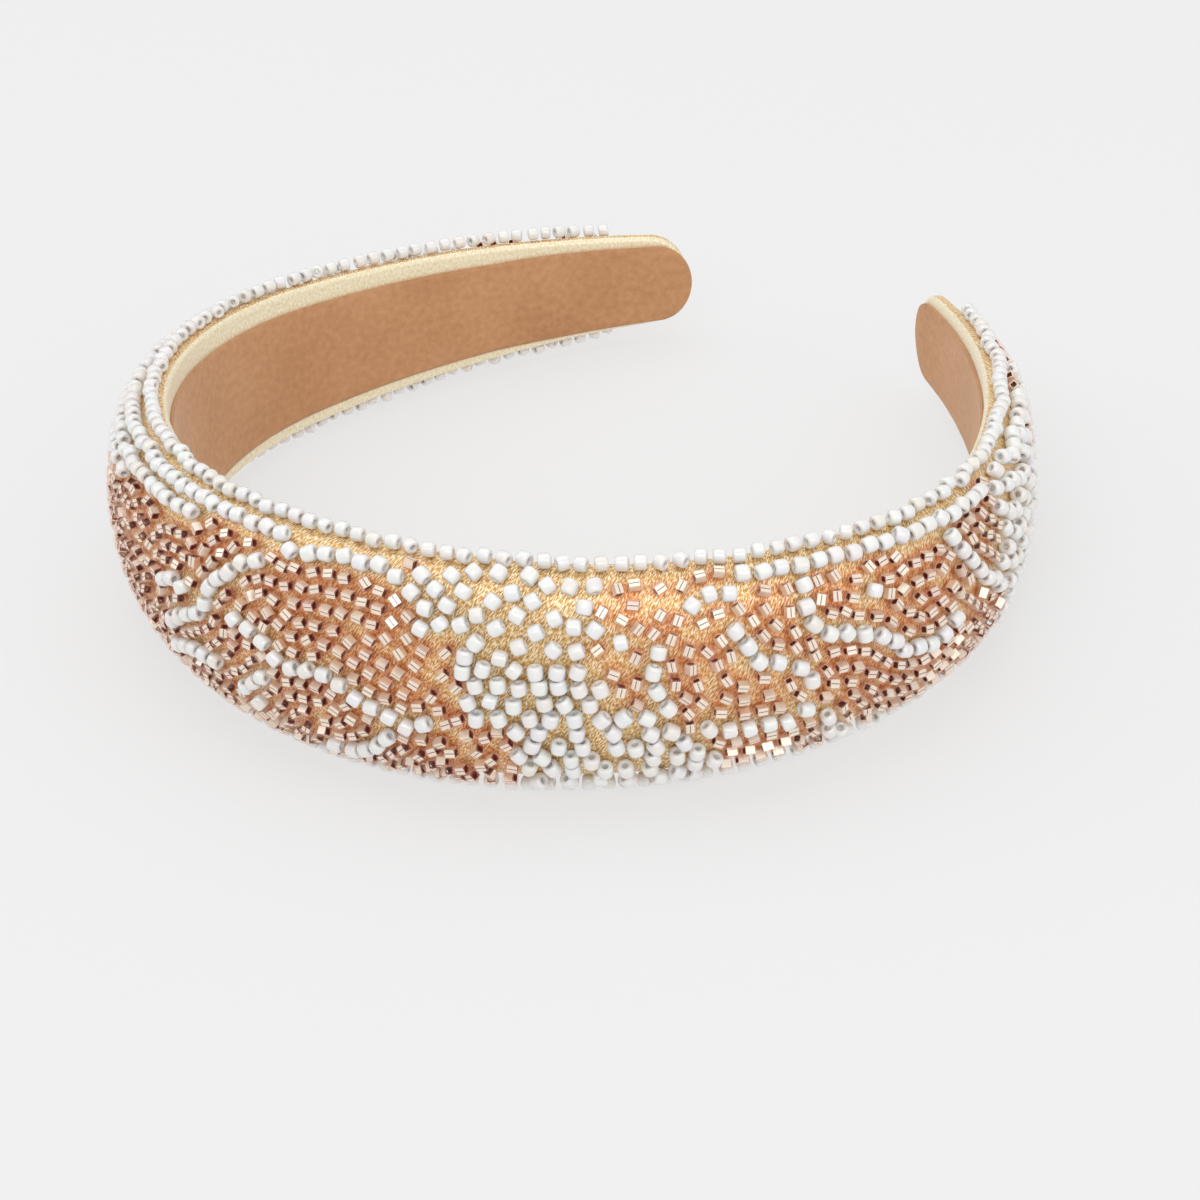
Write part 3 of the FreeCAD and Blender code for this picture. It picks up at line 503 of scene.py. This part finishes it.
def surface_normal(point):
    """Outward direction of the satin under a bead."""
    x, y, z = point * 1000
    y, z = y - SHIFT[1], z - SHIFT[2]
    flat = Vector((x - SHIFT[0], y * math.cos(LEAN) + z * math.sin(LEAN)))
    height = -y * math.sin(LEAN) + z * math.cos(LEAN)
    nearest = int(np.argmin(np.hypot(PLAN[:, 1] - flat.x, PLAN[:, 2] - flat.y)))
    s, heading = PLAN[nearest, 0], PLAN[nearest, 3]
    wide, deep = half_width(s), crown(s)
    lean_out = math.sqrt(max(1 - min(abs(height) / wide, 0.999) ** 2, 0.0)) / deep
    up = height / wide / wide
    outward = Vector((math.sin(heading) * lean_out, -math.cos(heading) * lean_out, up)).normalized()
    return Matrix.Rotation(LEAN, 3, "X") @ outward


# s, x, y and heading at closely spaced places along the inner face.
PLAN = np.array([(s, *path(s)) for s in np.linspace(-LENGTH, LENGTH, 1500)])


def lathe(profile, sides):
    """Closed profile of (radius, height, material) turned about Z. Returns points, faces, materials."""
    points, faces, mats = [], [], []
    rows = len(profile)
    for k in range(sides):
        angle = 2 * math.pi * (k + 0.5) / sides
        for radius, height, _ in profile:
            points.append((radius * math.cos(angle), radius * math.sin(angle), height))
    for k in range(sides):
        after = (k + 1) % sides
        for j in range(rows):
            i = (j + 1) % rows
            faces.append((k * rows + j, after * rows + j, after * rows + i, k * rows + i))
            mats.append(profile[j][2])
    return points, faces, mats


def barrel(wide, long_, bore, soft, belly):
    """Outline of a bead, bottom to top and back through its bore: rounded shoulders, full sides."""
    r, h, b = wide / 2, long_ / 2, bore / 2
    shoulder = [(r - soft * (1 - math.cos(a)), h - soft * (1 - math.sin(a)), 0)
                for a in (0.0, 0.5, 1.0, 1.4)]
    upper = shoulder + [(b + 0.14, h, 0), (b, h - 0.12, 1)]
    lower = [(radius, -height, 0) for radius, height, _ in reversed(upper[:-1])]
    return [(b, -h + 0.12, 0)] + lower + [(r + belly, 0.0, 0)] + upper


def lining_bar(half, long_):
    """Square silver lining of a bead, with a strip of painted shadow, the dark line of the thread bore's
    shadow, along one side; its inside faces take the painted bore shade.
    """
    points, faces, mats = lathe([(half, -long_ / 2, 0), (half, long_ / 2, 0), (half * 0.7, long_ / 2, 1),
                                 (half * 0.7, -long_ / 2, 1)], 4)
    flat = half * math.sqrt(0.5) + 0.012
    base = len(points)
    # A dark strip laid just over one flat: painted shadow of the thread bore.
    points = points + [(flat, -0.07, -long_ * 0.46), (flat, 0.07, -long_ * 0.46),
                       (flat, 0.07, long_ * 0.46), (flat, -0.07, long_ * 0.46)]
    return points, faces + [(base, base + 1, base + 2, base + 3)], mats + [2]


def bead_mesh(name, beads, pattern, mats, spread, spin, slack=0.0):
    """All the beads of a node as one mesh, each with its own size; spin: how freely each is turned
    about its bore from the direction that faces away from the satin; slack: how freely on the satin."""
    points, faces, face_mats = pattern
    verts, all_faces, all_mats = [], [], []
    rng = random.Random(name)
    for centre, axis in beads:
        out = surface_normal(centre)
        axis = Matrix.Rotation(rng.gauss(0, slack), 3, out) @ axis
        across = axis.cross(out).normalized()
        turn = Matrix((axis.cross(across) * -1, across, axis)).transposed()
        turn = turn @ Matrix.Rotation(rng.uniform(-spin, spin), 3, "Z")
        grow = 1 + rng.uniform(-spread, spread * 0.3)
        tall = 1 + rng.uniform(-spread, spread)
        tip = rng.gauss(0, 0.03)
        base = len(verts)
        for x, y, z in points:
            verts.append(turn @ Vector((x * grow, y * grow, z * tall + x * tip)) * 0.001 + centre)
        all_faces += [tuple(base + i for i in f) for f in faces]
        all_mats += face_mats
    return mesh_object(name, verts, all_faces, mats, all_mats)


def build_beads(found):
    """The looks of every bead node, bead for bead where the node has them."""
    pearl, rose, silver = pearl_material(), rose_material(), silver_material()
    bore_shade, bore_shadow_strip = bore_shade_material(), bore_shadow_strip_material()
    large = lathe(barrel(wide=2.5, long_=2.12, bore=0.95, soft=0.46, belly=0.03), 20)
    small = lathe(barrel(wide=2.32, long_=1.88, bore=0.85, soft=0.42, belly=0.03), 18)
    glass = lathe(barrel(wide=2.04, long_=1.86, bore=0.94, soft=0.2, belly=0.01), 16)
    bar = lining_bar(half=0.86, long_=1.52)
    for name, beads in found.items():
        if name.startswith("rose"):
            # Rose beads: the bores and the inside of each silver bar carry the painted bore shade.
            shell = bead_mesh(name + "_glass", beads, glass, [rose, bore_shade], 0.05, math.pi)
            core = bead_mesh(name + "_silver", beads, bar, [silver, bore_shade, bore_shadow_strip], 0.04, 0.55)
            core.data.polygons.foreach_set("use_smooth", [False] * len(core.data.polygons))
            for obj in (shell, core):
                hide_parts(name)
        else:
            pattern = small if "rim" in name else large
            slack = 0.32 if "rim" in name else 0.1
            obj = bead_mesh(name + "_pearl", beads, pattern, [pearl, pearl], 0.06, math.pi, slack)
            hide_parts(name)


# ------------------------------------------------------------------ stage
def build_stage():
    """Pale floor, soft lamps and an even white room."""
    bpy.ops.mesh.primitive_plane_add(size=6, location=(0, 0, 0))
    floor = bpy.context.object
    floor.name = "floor"
    mat, _, _, shader = material("pale_floor")
    shader.inputs["Base Color"].default_value = (0.22, 0.22, 0.22, 1)
    shader.inputs["Roughness"].default_value = 0.9
    shader.inputs["Specular IOR Level"].default_value = 0.1
    shader.inputs["Emission Color"].default_value = (1, 1, 1, 1)
    shader.inputs["Emission Strength"].default_value = 0.61
    floor.data.materials.append(mat)
    for name, at, aim, size_x, size_y, power in (
            ("overhead", (-0.15, 0.15, 0.95), (0, 0, 0), 1.0, 0.8, 2.1),
            ("front_strip", (0.35, -0.75, 0.75), (0, -0.02, 0.02), 0.8, 0.3, 2.3),
            ("left_fill", (-0.8, -0.3, 0.5), (0, 0, 0.02), 0.5, 0.5, 1.0),
            ("right_fill", (0.85, -0.25, 0.45), (0.03, 0, 0.02), 0.9, 0.7, 2.0)):
        data = bpy.data.lights.new(name, "AREA")
        data.shape = "RECTANGLE"
        data.size, data.size_y, data.energy = size_x, size_y, power
        lamp = bpy.data.objects.new(name, data)
        lamp.location = at
        lamp.rotation_euler = (Vector(at) - Vector(aim)).to_track_quat("Z", "Y").to_euler()
        bpy.context.scene.collection.objects.link(lamp)
    world = bpy.data.worlds.new("studio")
    world.use_nodes = True
    nodes, links = world.node_tree.nodes, world.node_tree.links
    where = nodes.new("ShaderNodeTexCoord")
    split = nodes.new("ShaderNodeSeparateXYZ")
    links.new(where.outputs["Generated"], split.inputs["Vector"])
    sky = ramp(nodes, links, split.outputs["Z"], [
        (0.0, (0.78, 0.78, 0.79, 1)), (0.25, (0.88, 0.88, 0.89, 1)), (0.75, (1.0, 1.0, 1.0, 1))])
    links.new(sky.outputs["Color"], nodes["Background"].inputs["Color"])
    nodes["Background"].inputs["Strength"].default_value = 0.80
    bpy.context.scene.world = world
    bpy.context.scene.view_settings.view_transform = "Standard"


def build_camera():
    """Looks down on the band from the front right."""
    turn, rise, roll, distance = 0.6069, 0.5206, -0.0501, 437.31
    target = Vector((27.55, 25.67, 0.0))
    back = Vector((math.sin(turn) * math.cos(rise), -math.cos(turn) * math.cos(rise), math.sin(rise)))
    level = Matrix.Rotation(roll, 3, back) @ Vector((math.cos(turn), math.sin(turn), 0))
    lean = Matrix.Rotation(LEAN, 3, "X")
    facing = lean @ Matrix((level, back.cross(level), back)).transposed()
    data = bpy.data.cameras.new("camera")
    data.lens = 87.47
    data.sensor_width = 36.0
    data.clip_end = 20.0
    camera = bpy.data.objects.new("camera", data)
    camera.matrix_world = Matrix.Translation(in_row(*(target + back * distance))) @ facing.to_4x4()
    bpy.context.scene.collection.objects.link(camera)
    bpy.context.scene.camera = camera


satin, rim = satin_material(), rim_material()
beads_found = {name: loose_parts(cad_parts[name]) for name in sorted(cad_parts) if "beads" in name}
build_cover([satin, rim], beads_found)
build_lining(suede_material())
build_beads(beads_found)
build_stage()
build_camera()
